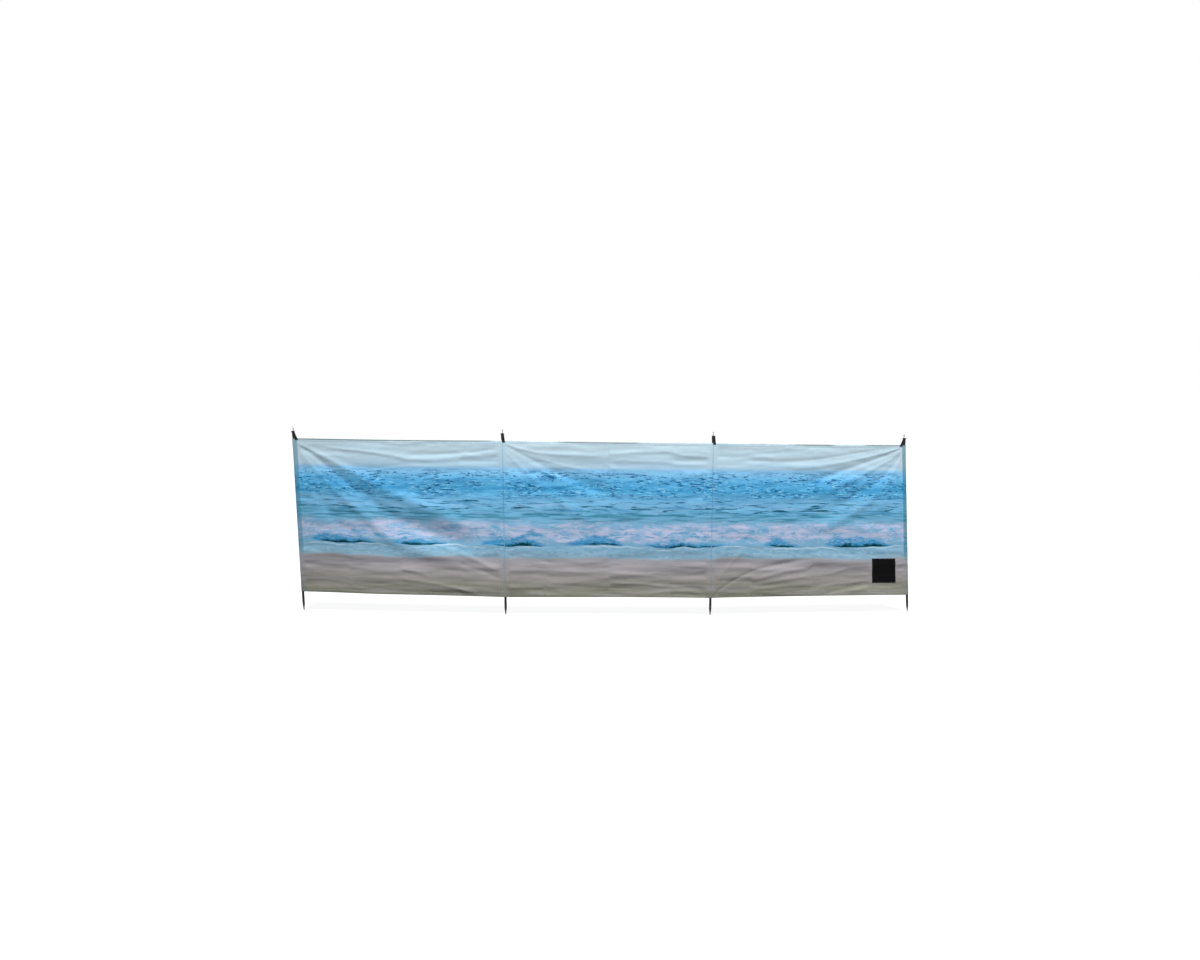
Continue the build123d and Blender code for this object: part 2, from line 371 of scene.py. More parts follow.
def wear(s):
    """Painted shade along the folded top edge, more of it over the first bay, a faded packing crease, and
    painted shade over the left end, beside the seams and on the end pockets.
    """
    run, end = s.run, SEAM_U[3]
    # painted shade: an uneven dark line along the top edge, heavier over the first bay
    shade_patches = s.mottle(1.6, 1, 3, 0.6, shift=(7.7, 3))
    worn_and_shaded = shade_patches + s.step(run, 1.75, 1.35, 0.0, 0.12)
    s.paint((80, 98, 96), s.band(s.up, 1.1885, 1.196, 1.207, 1.202), s.step(worn_and_shaded, 0.45, 0.57), 0.85)
    crease = s.bell(run, SEAM_U[1] + CREASES[1][1] * U_SPAN, 0.0035)
    s.paint((112, 186, 218), crease, s.step(s.level, 0.10, 0.40, 0.3, 1.0), 0.45)
    # painted shade: the first bay darkens towards its left end
    s.dim(0.85, s.step(run, 1.15, 0.0))
    shown = s.step(s.level, 0.22, 0.30, 0.2, 1.0)
    # painted shade: a darker blue strip beside each inner seam
    for seam in SEAM_U[1:3]:
        s.paint((46, 128, 178), s.bell(run, seam, 0.008), shown, 0.22)
    # end pockets: painted shade, a darker strip where the cloth turns round the pole, and patchy darker
    # grey on its outer side
    left = s.step(run, 0.031, 0.026, 0.0, 0.52)
    right = s.step(run, end - 0.027, end - 0.022, 0.0, 0.60)
    s.paint((44, 110, 130), s.calc("MAXIMUM", left, right), shown)
    outer = s.bell(run, -0.016, 0.010) + s.bell(run, end + 0.016, 0.008)
    s.paint((58, 78, 80), outer, s.step(shade_patches, 0.3, 0.6, 0.35, 0.75))


def cloth_material(name, faded):
    """The printed face, or the back where the print only shows through. The weave changes its tone."""
    s = Seascape(name)
    for layer in (sky, sea, foam, breakers, shore, wear):
        layer(s)
    weave = s.mottle(1500, 70, 1, 0.5) + s.mottle(60, 1300, 1, 0.5, shift=(5, 5))
    s.dim(0.95, s.step(weave, 1.20, 0.80))
    if faded:
        s.colour = s.blend(faded, s.colour, srgb(196, 204, 208))
    return s.finish(weave, 0.00012, 0.6, Roughness=0.86, Specular_IOR_Level=0.03)


def thread_material(name, low, high):
    """Sewing thread: two plies that twist round each other, a little uneven in tone."""
    s = Surface(name)
    place = s.place()
    twist = s.noise(place, (1800, 1800, 1800), 2)
    fade = s.noise(place, (14, 14, 14), 2)
    s.colour = s.blend(s.step(twist, 0.3, 0.7), srgb(*low), srgb(*high))
    s.paint(high, s.step(fade, 0.5, 0.8, 0, 0.3))
    return s.finish(twist, 0.0002, 0.6, Roughness=0.62, Sheen_Weight=0.1)


def seam_material():
    """Overlock thread that has taken the tones of the print beside it."""
    s = Surface("seam_thread")
    flat, _, up = s.flat_map()
    s.colour = s.ramp(up / CLOTH_HEIGHT, (
        (0.00, 112, 114, 104), (0.20, 130, 134, 140), (0.26, 92, 148, 176), (0.45, 104, 164, 198),
        (0.55, 54, 132, 172), (0.74, 34, 122, 176), (0.81, 86, 160, 206), (0.86, 142, 190, 208),
        (1.00, 156, 198, 214)))
    twist = s.noise(flat, (1800, 420, 1), 2)
    s.paint((168, 204, 220), s.step(twist, 0.35, 0.7, 0, 0.35))
    return s.finish(twist, 0.0003, 0.7, Roughness=0.7, Specular_IOR_Level=0.15)


def webbing_material():
    """Black flat webbing: ribs across its width, worn a little paler on the high threads."""
    s = Surface("black_webbing")
    flat, across, along = s.flat_map()
    rib = s.calc("SINE", along * (2 * math.pi / 0.0019))
    cross = s.calc("SINE", across * (2 * math.pi / 0.0023))
    height = rib * 0.6 + cross * 0.35 + s.noise(flat, (900, 900, 1), 3, 0.6) * 0.5
    s.colour = s.blend(s.step(height, -0.6, 1.3), srgb(11, 11, 12), srgb(38, 38, 41))
    return s.finish(height, 0.0003, 0.8, Roughness=0.78, Specular_IOR_Level=0.16)


def patch_material():
    """Black twill, a little worn."""
    s = Surface("black_patch")
    flat, across, up = s.flat_map()
    twill = s.calc("SINE", (across + up) * (2 * math.pi / 0.0014))
    height = twill * 0.4 + s.noise(flat, (700, 700, 1), 3, 0.6)
    worn_and_shaded = s.noise(flat, (22, 22, 1), 3, 0.6)
    s.colour = s.blend(s.step(height, 0.1, 1.0), srgb(4, 4, 5), srgb(14, 14, 15))
    s.paint((28, 28, 30), s.step(worn_and_shaded, 0.55, 0.8, 0, 0.2))
    return s.finish(height, 0.0002, 0.6, Roughness=0.84, Specular_IOR_Level=0.06)


def metal_material(name, low, high, wear, rough, metallic, shine=0.5):
    """Metal with drawn streaks, small scratches and patchy dulling."""
    s = Surface(name)
    place = s.place()
    streak = s.noise(place, (900, 900, 60), 4, 0.6)
    patch = s.noise(place, (38, 38, 12), 4, 0.6)
    scratch = s.noise(place, (1600, 1600, 40), 2, 0.6, warp=0.5)
    s.colour = s.blend(s.step(streak, 0.35, 0.7), srgb(*low), srgb(*high))
    s.paint(wear, s.step(patch, 0.55, 0.75, 0, 0.5))
    bright = tuple(min(1, v * 1.8 + 0.02) for v in srgb(*high))
    s.colour = s.blend(s.step(scratch, 0.66, 0.72, 0, 0.45), s.colour, bright)
    return s.finish(streak + scratch, 0.00008, 0.5, Metallic=metallic, Specular_IOR_Level=shine,
                    Roughness=s.step(patch, 0.3, 0.8, rough - 0.06, rough + 0.14))


def spike_material():
    """Dark steel, scuffed towards the tip where it goes into the sand."""
    s = Surface("spike_steel_look")
    place = s.place()
    streak = s.noise(place, (700, 700, 45), 4, 0.6)
    patch = s.noise(place, (60, 60, 24), 4, 0.6)
    grit = s.noise(place, (900, 900, 900), 3, 0.7)
    low = s.step(s.value("SeparateXYZ", {0: place}, 2) + patch * 0.05, 0.085, 0.03)
    s.colour = s.blend(s.step(streak, 0.35, 0.7), srgb(30, 31, 30), srgb(50, 50, 49))
    s.paint((84, 82, 76), low, s.step(streak, 0.3, 0.75, 0.15, 0.75))
    s.paint((150, 138, 116), low, s.step(grit, 0.58, 0.66, 0, 0.5))
    return s.finish(streak + grit, 0.0001, 0.5, Metallic=0.2, Specular_IOR_Level=0.2,
                    Roughness=s.step(patch, 0.3, 0.8, 0.46, 0.64))


def plastic_material():
    """Moulded black plastic, a little dusty."""
    s = Surface("cap_plastic_look")
    place = s.place()
    dust = s.noise(place, (70, 70, 70), 4, 0.6)
    s.colour = s.blend(s.step(dust, 0.5, 0.8, 0, 0.3), srgb(19, 19, 21), srgb(58, 58, 60))
    return s.finish(s.noise(place, (1500, 1500, 1500), 3, 0.6), 0.00008, 0.5,
                    Roughness=s.step(dust, 0.3, 0.8, 0.40, 0.58))


PRINT = cloth_material("printed_front", 0.0)
PRINT_BACK = cloth_material("printed_back", 0.45)
THREAD = thread_material("pale_thread", (128, 158, 168), (182, 202, 208))
SEAM = seam_material()
BLACK_THREAD = thread_material("black_thread", (12, 12, 13), (46, 46, 50))
GREY_THREAD = thread_material("grey_thread", (40, 40, 44), (84, 84, 90))
WEBBING = webbing_material()
PATCH = patch_material()
TUBE = metal_material("pole_paint", (24, 25, 26), (38, 39, 40), (56, 57, 58), 0.44, 0.0, 0.14)
PIN = metal_material("pin_zinc", (126, 128, 130), (164, 166, 168), (104, 105, 106), 0.34, 0.95)
EYELET = metal_material("eyelet_zinc", (140, 142, 144), (186, 188, 190), (112, 113, 114), 0.28, 1.0)
SPIKE = spike_material()
PLASTIC = plastic_material()


# Mesh helpers

def placed(name, data, x=(1, 0, 0), y=(0, 1, 0), z=(0, 0, 1), at=(0, 0, 0)):
    """An object that holds the data, with its three axes and its place."""
    thing = bpy.data.objects.new(name, data)
    scene.collection.objects.link(thing)
    thing.matrix_world = Matrix([*zip(x, y, z, at), (0, 0, 0, 1)])
    return thing


def mesh_piece(name, points, faces, materials, uv=None, look=0, soft=True):
    """An object from points and faces (quads or triangles), with the flat map per point. look is the
    number of each face's material, and soft says which faces are shaded smooth."""
    mesh = bpy.data.meshes.new(name)
    mesh.from_pydata([tuple(p) for p in points], [], [tuple(f) for f in faces])
    for material in materials:
        mesh.materials.append(material)
    if uv is not None:
        layer = mesh.uv_layers.new(name="flat")
        index = np.empty(len(mesh.loops), int)
        mesh.loops.foreach_get("vertex_index", index)
        layer.data.foreach_set("uv", np.asarray(uv, float)[index].ravel())
    mesh.polygons.foreach_set("material_index", np.full(len(faces), look, np.int32))
    mesh.polygons.foreach_set("use_smooth", np.full(len(faces), soft))
    mesh.validate()
    mesh.update()
    piece = placed(name, mesh)
    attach(piece, "root")
    return piece


def grid_faces(grid, flip=False):
    rows, cols = grid.shape[:2]
    r, c = np.meshgrid(np.arange(rows - 1), np.arange(cols - 1), indexing="ij")
    a = r * cols + c
    quads = np.stack([a, a + 1, a + cols + 1, a + cols], -1).reshape(-1, 4)
    return quads[:, ::-1] if flip else quads


def thick(name, front, back, faces, uv, materials):
    """A closed thin piece between two matching sets of points. Walls close every open edge.
    The front has the first material and the back the last."""
    front, back, uv = front.reshape(-1, 3), back.reshape(-1, 3), uv.reshape(-1, 2)
    size, sheet = len(front), len(faces)
    edges = np.vstack([faces[:, [k, (k + 1) % 4]] for k in range(4)])
    _, first, count = np.unique(edges.min(1) * size + edges.max(1), return_index=True, return_counts=True)
    rim = edges[first[count == 1]]
    walls = np.stack([rim[:, 1], rim[:, 0], rim[:, 0] + size, rim[:, 1] + size], -1)
    every = np.vstack([faces, faces[:, ::-1] + size, walls])
    look = np.zeros(len(every), int)
    look[sheet:2 * sheet] = len(materials) - 1
    soft = np.arange(len(every)) < 2 * sheet
    points, uv = np.vstack([front, back]), np.vstack([uv, uv])
    return mesh_piece(name, points, every, materials, uv, look, soft)


def printed(name, middle, n, uv):
    """A strip of cloth about its middle layer, its printed side where the normals point."""
    half = n * CLOTH_T / 2
    return thick(name, middle + half, middle - half, grid_faces(middle), uv, [PRINT, PRINT_BACK])


def normals(grid):
    """Unit normals of a grid of points, towards the front for rows going up and columns going right."""
    return unit(np.cross(np.gradient(grid, axis=1), np.gradient(grid, axis=0)))


def stitches(name, runs, material, length=0.0032, thickness=0.00033):
    """Thread along rows of points with their outward normals: one small bead between each two points."""
    ring = (-1, 0.1), (0, 1), (1, 0.1), (0, -0.7)
    bead = np.array([(-1, 0, 0), *((end, *p) for end in (-0.6, 0.6) for p in ring), (1, 0, 0)])
    sides = (1, 2), (2, 3), (3, 4), (4, 1)
    skin = [(0, b, a) for a, b in sides] + [(a, b, b + 4, a + 4) for a, b in sides]
    skin += [(9, a + 4, b + 4) for a, b in sides]
    points = []
    for at, n in runs:
        middle = 0.5 * (at[1:] + at[:-1])
        up = 0.5 * (n[1:] + n[:-1])
        along = unit(at[1:] - at[:-1])
        side = unit(np.cross(up, along))
        round_it = side[:, None] * bead[:, 1:2] + up[:, None] * bead[:, 2:]
        beads = middle[:, None] + along[:, None] * bead[:, :1] * length / 2 + round_it * thickness
        points.append(beads.reshape(-1, 3))
    points = np.vstack(points)
    starts = range(0, len(points), len(bead))
    faces = [tuple(start + corner for corner in face) for start in starts for face in skin]
    mesh_piece(name, points, faces, [material])


def smooth_step(x, low, high):
    x = np.clip((x - low) / (high - low), 0, 1)
    return x * x * (3 - 2 * x)


def value_noise(x, y, seed):
    """Smooth noise from -1 to 1 with a period of about one unit."""
    table = np.random.default_rng(seed).uniform(-1, 1, (64, 64))
    i, j = np.floor(x).astype(int), np.floor(y).astype(int)
    fx, fy = smooth_step(x - i, 0, 1), smooth_step(y - j, 0, 1)
    a = table[i % 64, j % 64] * (1 - fx) + table[(i + 1) % 64, j % 64] * fx
    b = table[i % 64, (j + 1) % 64] * (1 - fx) + table[(i + 1) % 64, (j + 1) % 64] * fx
    return a * (1 - fy) + b * fy


def resample(points, count):
    """Even steps along a smooth curve through the points."""
    dense = []
    padded = np.vstack([2 * points[0] - points[1], points, 2 * points[-1] - points[-2]])
    t = np.linspace(0, 1, 12, endpoint=False)[:, None]
    for p0, p1, p2, p3 in zip(padded, padded[1:], padded[2:], padded[3:]):
        dense.append(0.5 * (2 * p1 + (p2 - p0) * t + (2 * p0 - 5 * p1 + 4 * p2 - p3) * t * t
                            + (3 * p1 - p0 - 3 * p2 + p3) * t ** 3))
    dense = np.vstack([*dense, points[-1]])
    run = path_run(dense)
    at = np.linspace(0, run[-1], count)
    return np.stack([np.interp(at, run, dense[:, k]) for k in range(dense.shape[1])], -1)


def path_run(points):
    """The length of a path at each of its points."""
    return np.hstack([[0], np.cumsum(np.linalg.norm(np.diff(points, axis=0), axis=1))])


# The cloth: each bay is a surface over (s, t), s from pole to pole and t from the bottom up.
# Folds of each bay: steepness in percent (a valley if below 0), half widths at the start and the end,
# and places along it from the bay's left pole and up from its bottom edge. Widths and places are in mm.
FOLDS = [[
    (15, 12, 105, (20, 1164), (127, 1115), (254, 1050), (381, 981), (762, 774), (1092, 645), (1422, 503)),
    (-16, 12, 115, (20, 1154), (152, 1066), (381, 870), (762, 581), (1092, 465), (1372, 369)),
    (12, 16, 100, (20, 1133), (178, 929), (381, 723), (762, 395), (1092, 292), (1549, 178)),
    (-7, 16, 70, (20, 1097), (127, 813), (305, 555), (508, 349)),
    (15, 24, 30, (1092, 385), (1270, 328), (1397, 271), (1524, 214), (1590, 183)),
    (-11, 24, 21, (1245, 251), (1422, 199), (1575, 137)),
    (13, 14, 34, (254, 1130), (508, 1112), (762, 1081), (864, 1053), (1092, 1050), (1270, 1071),
        (1448, 1081)),
    (-10, 27, 14, (864, 1086), (1219, 1097), (1372, 1107), (1524, 1133), (1585, 1169)),
    (9, 23, 25, (1283, 1092), (1422, 1084), (1590, 1102)),
    (-7, 21, 21, (1270, 1045), (1422, 1040), (1590, 1045)),
    (8, 19, 19, (660, 1179), (838, 1172), (1041, 1187)),
    (6, 24, 24, (864, 1004), (1067, 994), (1270, 1009), (1549, 988)),
    (10, 19, 23, (775, 209), (914, 178), (1016, 158)),
    (13, 19, 19, (775, 127), (1067, 88), (1194, 65), (1372, 13)),
    (7, 17, 17, (808, 39), (1016, 24)),
    (10, 19, 19, (1245, 57), (1321, 42), (1392, 18)),
    (10, 15, 15, (376, 91), (406, 49), (523, 34)),
    (7, 19, 19, (10, 98), (178, 106), (371, 91)),
    (5, 21, 21, (381, 204), (533, 199), (635, 220)),
    (5, 21, 21, (15, 240), (203, 235), (371, 251)),
], [
    (13, 12, 30, (15, 1179), (127, 1141), (254, 1112), (457, 1099), (762, 1092)),
    (-12, 9, 70, (15, 1164), (152, 1092), (279, 1025), (406, 963), (660, 859), (864, 761)),
    (9, 14, 70, (15, 1123), (152, 981), (330, 813), (559, 645), (762, 555)),
    (7, 14, 26, (279, 1066), (406, 1030), (610, 983), (787, 963)),
    (8, 18, 21, (889, 1123), (1245, 1130), (1372, 1102), (1590, 1092)),
    (8, 25, 25, (838, 1056), (1245, 1050), (1321, 1032), (1590, 1027)),
    (-7, 25, 25, (1290, 1061), (1590, 1058)),
    (6, 19, 19, (762, 1040), (808, 1019), (864, 983)),
    (5, 25, 25, (305, 1179), (508, 1164), (711, 1133)),
    (6, 21, 21, (10, 209), (295, 202)),
    (6, 21, 21, (345, 183), (483, 199), (599, 183)),
    (11, 19, 17, (10, 75), (279, 73), (351, 44)),
    (8, 17, 17, (51, 13), (254, 11), (406, 18)),
    (6, 19, 19, (356, 109), (508, 109), (610, 122)),
    (7, 17, 17, (340, 39), (401, 52), (447, 34)),
    (6, 19, 19, (457, 26), (610, 13), (787, 24)),
    (9, 23, 23, (808, 186), (1016, 178), (1219, 158)),
    (12, 17, 17, (813, 111), (1092, 103), (1270, 80)),
    (11, 19, 19, (808, 39), (1092, 21), (1270, 49), (1422, 49), (1590, 13)),
    (-6, 21, 21, (1270, 106), (1448, 80), (1590, 44)),
    (5, 25, 25, (559, 258), (762, 276)),
    (5, 21, 21, (1295, 209), (1448, 199), (1590, 214)),
    (5, 21, 21, (36, 155), (279, 158)),
], [
    (14, 9, 34, (1565, 1179), (1422, 1138), (1270, 1102), (1067, 1061), (864, 1030), (584, 1014)),
    (-15, 9, 48, (1565, 1169), (1422, 1110), (1270, 1061), (1092, 1004), (914, 942), (686, 854)),
    (13, 9, 48, (1565, 1154), (1461, 1076), (1346, 1019), (1194, 942), (1016, 865), (813, 787)),
    (-12, 9, 60, (1570, 1138), (1499, 1045), (1397, 942), (1245, 834), (1067, 730), (864, 632)),
    (12, 9, 60, (1572, 1123), (1524, 1019), (1422, 865), (1295, 748), (1092, 619), (864, 524)),
    (-7, 9, 40, (1577, 1107), (1554, 968), (1499, 787), (1422, 632)),
    (-9, 24, 15, (254, 1071), (508, 1061), (762, 1071), (1016, 1107), (1219, 1138), (1422, 1169),
        (1560, 1187)),
    (-8, 23, 23, (10, 1092), (152, 1092), (305, 1105), (483, 1128), (660, 1148)),
    (-6, 21, 21, (10, 1030), (152, 1030), (305, 1045)),
    (6, 21, 21, (305, 1107), (406, 1102), (508, 1092)),
    (7, 19, 19, (584, 1169), (762, 1169), (838, 1148)),
    (-15, 12, 33, (20, 26), (127, 103), (254, 173), (381, 220), (610, 266), (813, 307)),
    (14, 23, 25, (381, 147), (584, 196), (762, 222), (843, 261)),
    (13, 21, 21, (356, 96), (584, 134), (787, 160), (848, 189)),
    (10, 21, 21, (330, 52), (584, 80), (818, 98)),
    (8, 12, 24, (20, 8), (152, 34), (330, 34), (610, 26)),
    (10, 21, 21, (851, 62), (1016, 93), (1270, 114)),
    (-12, 25, 25, (876, 3), (1067, 49), (1219, 83), (1311, 91)),
    (7, 17, 17, (965, 173), (1118, 225), (1285, 240)),
    (7, 17, 17, (1092, 158), (1290, 168)),
    (6, 21, 21, (838, 163), (965, 178), (1067, 204)),
    (7, 10, 24, (20, 65), (76, 168), (178, 297), (305, 400)),
    (6, 15, 15, (1519, 240), (1590, 256)),
    (6, 15, 15, (1519, 189), (1590, 199)),
    (6, 15, 15, (1519, 137), (1590, 147)),
    (8, 17, 17, (1118, 34), (1270, 65), (1422, 54), (1590, 75)),
    (5, 21, 21, (1524, 297), (1565, 333), (1595, 349)),
]]
CREASE_JOGS = (0.011, -0.014, 0.012)
FOLD_GAIN = 1.2
FOLD_FALL = 1.6  # how fast a fold falls off to its sides
FOLD_SLOPE = 1.085  # the steepest slope of that fall for a fold 1 wide and 1 high


def fold(x, y, steep, width_from, width_to, *path):
    """A ridge along a path that grows as it widens and fades in and out at its ends."""
    best, where = np.full(x.shape, 1e9), np.zeros(x.shape)
    path = np.array(path) / 1000
    reached = path_run(path)
    for (ax, ay), (bx, by), gone, length in zip(path, path[1:], reached, np.diff(reached)):
        dx, dy = (bx - ax) / length, (by - ay) / length
        run = np.clip((x - ax) * dx + (y - ay) * dy, 0, length)
        off = np.hypot(x - ax - run * dx, y - ay - run * dy)
        near = off < best
        best = np.where(near, off, best)
        where = np.where(near, (gone + run) / reached[-1], where)
    width = (width_from + (width_to - width_from) * where) / 1000
    crest = FOLD_GAIN * steep / 100 * width / FOLD_SLOPE
    ends = np.sqrt(smooth_step(where, -0.02, 0.10) * (1 - smooth_step(where, 0.72, 1.0)))
    return crest * ends * np.exp(-FOLD_FALL * (best / width) ** 2)


def depth_field(bay, s, t):
    """How far the cloth stands to the front of the flat bay, in metres, at fractions s and t."""
    x, y = np.broadcast_arrays(s * BAY_WIDTH, t * CLOTH_HEIGHT)
    d = sum(fold(x, y, *shape) for shape in FOLDS[bay])
    # level wrinkles, that jog where the cloth was folded to be packed
    jog = 0.05 * value_noise(x * 1.3 + 3, y * 1.1 + bay, 21 + bay)
    for at, step in zip(CREASES[bay], CREASE_JOGS):
        jog = jog + step * smooth_step(x - at * BAY_WIDTH, -0.006, 0.006)
    edges = 0.9 + 1.3 * smooth_step(y, 0.42, 0.30) + 0.5 * smooth_step(y, 0.86, 0.96)
    d = d + 0.0021 * edges * value_noise(x * 1.7 + 9 * bay, (y + jog) * 13, 31 + bay)
    d = d + 0.0012 * edges * value_noise(x * 3.4 + 5, (y + jog) * 27 + 2, 41 + bay)
    d = d + 0.0004 * value_noise(x * 13, (y + jog) * 52, 51 + bay)
    # a slow belly to the back
    belly = np.sin(math.pi * s) * np.sin(math.pi * (0.1 + 0.8 * t))
    d = d - 0.005 * belly * (1 + 0.6 * value_noise(x * 1.2, y * 1.3, 61 + bay))
    # packing creases: sharp lines from being folded flat
    for k, at in enumerate(CREASES[bay]):
        off = x - at * BAY_WIDTH - 0.002 * value_noise(y * 6, k, 71 + bay)
        keep = 0.6 + 0.4 * value_noise(y * 3.1 + k, 4, 81 + bay)
        d = d + (-1) ** k * 0.0017 * keep * np.exp(-np.abs(off) / 0.009)
    for k, at in enumerate((0.33, 0.66)):
        off = y - at * CLOTH_HEIGHT - 0.002 * value_noise(x * 5, k, 91 + bay)
        d = d + (-1) ** (k + bay) * 0.0007 * np.exp(-np.abs(off) / 0.009)
    # seams pucker where the pocket is sewn on, hems where they are turned
    for edge in (x - FLANGE, BAY_WIDTH - FLANGE - x):
        d = d + 0.0007 * np.exp(-(edge / 0.020) ** 2) * value_noise(y * 34, 7, 101 + bay)
        d = d - 0.0008 * np.exp(-(edge / 0.0035) ** 2)
    for edge in (y - HEM, CLOTH_HEIGHT - HEM - y):
        d = d + 0.0006 * np.exp(-(edge / 0.018) ** 2) * value_noise(x * 30, 7, 111 + bay)
        d = d - 0.0005 * np.exp(-(edge / 0.0030) ** 2)
    # held at the poles
    return d * smooth_step(x, 0.008, 0.060) * smooth_step(BAY_WIDTH - x, 0.008, 0.060)


def height(bay, s, t):
    """Height along the pole. The lower corner at the first pole has ridden up."""
    ridden = 0.012 * smooth_step(s, 0.45, 0.0) if bay == 0 else 0.0
    return FOOT_GAP + CLOTH_HEIGHT * t + ridden * (1 - t)


def bay_surface(bay, s, t):
    """Points of the middle layer of a bay's cloth, at fractions s and t."""
    s, t = np.broadcast_arrays(s, t)
    h = height(bay, s, t)
    # hung edges: a slight sag between the poles
    sag = np.sin(math.pi * s) * (0.003 * (1 - t) - 0.004 * t)
    left = pole_at(bay, h) - SEAM_BACK[bay] * MIDDLE
    right = pole_at(bay + 1, h) - SEAM_BACK[bay + 1] * MIDDLE
    flat = left + (right - left) * s[..., None] + UPWARD[bay] * sag[..., None]
    return flat - BACK[bay] * depth_field(bay, s, t)[..., None]


def on_bay(bay, s, t):
    """Points of a bay's middle layer, and its normals to the front."""
    near = 0.0008
    point = bay_surface(bay, s, t)
    along, upward = bay_surface(bay, s + near, t) - point, bay_surface(bay, s, t + near) - point
    return point, unit(np.cross(along, upward))


# Where a pocket's cloth runs from behind the pole to its sewn flange: inward and back from the axis.
POCKET_BACK = 0.0106
FLANGE_PATH = resample(np.array([
    (0.0, POCKET_BACK), (0.0045, 0.0097), (0.0085, 0.0066), (0.0108, 0.0020), (0.0116, -0.0030),
    (0.0123, -0.0068), (0.0138, -0.0090), (0.0162, -(MIDDLE - LAYER)), (FLANGE, -(MIDDLE - LAYER))]), 26)


def pocket_points(pole, bay, path, t):
    """Points beside a pole. The path gives metres inward to the bay and metres back from the pole's
    axis. Where the cloth lies in front, the pocket follows its depth."""
    side = 1 if bay == pole else -1
    inward, back, t = np.broadcast_arrays(path[:, 0], path[:, 1], t[:, None])
    s = side * inward / BAY_WIDTH + (pole - bay)
    follow = smooth_step(-back, 0.004, 0.0095) * (inward > 0)
    d = depth_field(bay, s, t) * follow
    # a loose pocket: small bulges that turn round the pole
    angle = np.arctan2(back, inward)
    loose = 0.0005 + 0.0005 * value_noise(t * 13 + 3 * pole, angle * 1.3 + 5, 7 + pole)
    bulge = loose * (1 - follow) * smooth_step(back, -0.0085, 0.001)
    out = 1 + bulge / np.maximum(np.hypot(inward, back), 0.005)
    return (pole_at(pole, height(bay, s, t)) + ALONG[bay] * (side * inward * out)[..., None]
            + BACK[bay] * (back * out - d)[..., None])


def end_wrap(pole, bay, t):
    """The end of the cloth, from the front of an end pole round its outer side to the flange behind.
    Gives the points, columns running away from the bay's face, and each column's length of cloth."""
    turn = np.radians(np.linspace(0, 180, 19)[1:-1])
    ring = np.stack([-np.sin(turn) * POCKET_BACK, -np.cos(turn) * MIDDLE], -1)
    path = np.vstack([ring, FLANGE_PATH])
    return pocket_points(pole, bay, path, t), path_run(np.vstack([[0, -MIDDLE], path]))[1:]


def build_bay(bay):
    # columns are closer together beside the poles, and rows near the bottom and the top
    beside = 0.055 / BAY_WIDTH
    s = np.interp(np.arange(171), (0, 12, 158, 170), (0, beside, 1 - beside, 1))
    t = np.interp(np.arange(223), (0, 80, 158, 222), (0, 0.26, 0.80, 1))
    middle = bay_surface(bay, *np.meshgrid(s, t))
    u = s * U_SPAN
    if bay == 0:
        wrap, run = end_wrap(0, 0, t)
        middle = np.hstack([wrap[:, ::-1], middle])
        u = np.hstack([-run[::-1], u])
    if bay == 2:
        wrap, run = end_wrap(3, 2, t)
        middle = np.hstack([middle, wrap])
        u = np.hstack([u, U_SPAN + run])
    n = normals(middle)
    uv = np.stack(np.meshgrid(SEAM_U[bay] + u, t * CLOTH_HEIGHT), -1)
    # the top and bottom edges roll back into their hems
    middle[[0, -1]] -= n[[0, -1]] * LAYER * 0.6
    piece = printed(f"bay_cloth_{bay + 1}", middle, n, uv)
    covered = [f"cloth_{bay + 1}"] + {0: ["sleeve_1"], 2: ["sleeve_4"]}.get(bay, [])
    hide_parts(*covered)
    return piece


def build_hem(bay, top):
    """The turned strip behind a long edge, its printed side to the back."""
    margin = FLANGE / BAY_WIDTH
    s = np.linspace(margin, 1 - margin, 200)
    turned_in = np.hstack([[0.0, 0.0008], np.linspace(0.002, HEM - 0.001, 9), [HEM]])
    depth = np.full(len(turned_in), LAYER)
    depth[0], depth[1], depth[-1] = LAYER * 0.35, LAYER * 0.8, LAYER * 1.15
    # the grid runs down from the top edge, or to the left along the bottom, so its normals point back
    if top:
        up, beyond = CLOTH_HEIGHT - turned_in, CLOTH_HEIGHT + turned_in
    else:
        s, up, beyond = s[::-1], turned_in, -turned_in
    middle = bay_surface(bay, *np.meshgrid(s, up / CLOTH_HEIGHT))
    n = normals(middle)
    uv = np.stack(np.meshgrid(SEAM_U[bay] + s * U_SPAN, beyond), -1)
    kind = "top" if top else "bottom"
    piece = printed(f"{kind}_hem_turned_{bay + 1}", middle + n * depth[:, None, None], n, uv)
    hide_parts(f"{kind}_hem_{bay + 1}")
    return piece


def build_pocket(pole):
    """The strip sewn behind an inner pole, flange to flange, cut from another length of the print."""
    cut_from = 2.37
    t = np.linspace(0, 1, 170)
    left = pocket_points(pole, pole - 1, FLANGE_PATH, t)
    right = pocket_points(pole, pole, FLANGE_PATH, t)
    middle = np.hstack([right[:, :0:-1], 0.5 * (left[:, :1] + right[:, :1]), left[:, 1:]])
    uv = np.stack(np.meshgrid(SEAM_U[pole] + cut_from + path_run(middle[0]), t * CLOTH_HEIGHT), -1)
    piece = printed(f"pole_pocket_{pole + 1}", middle, normals(middle), uv)
    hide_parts(f"sleeve_{pole + 1}")
    return piece


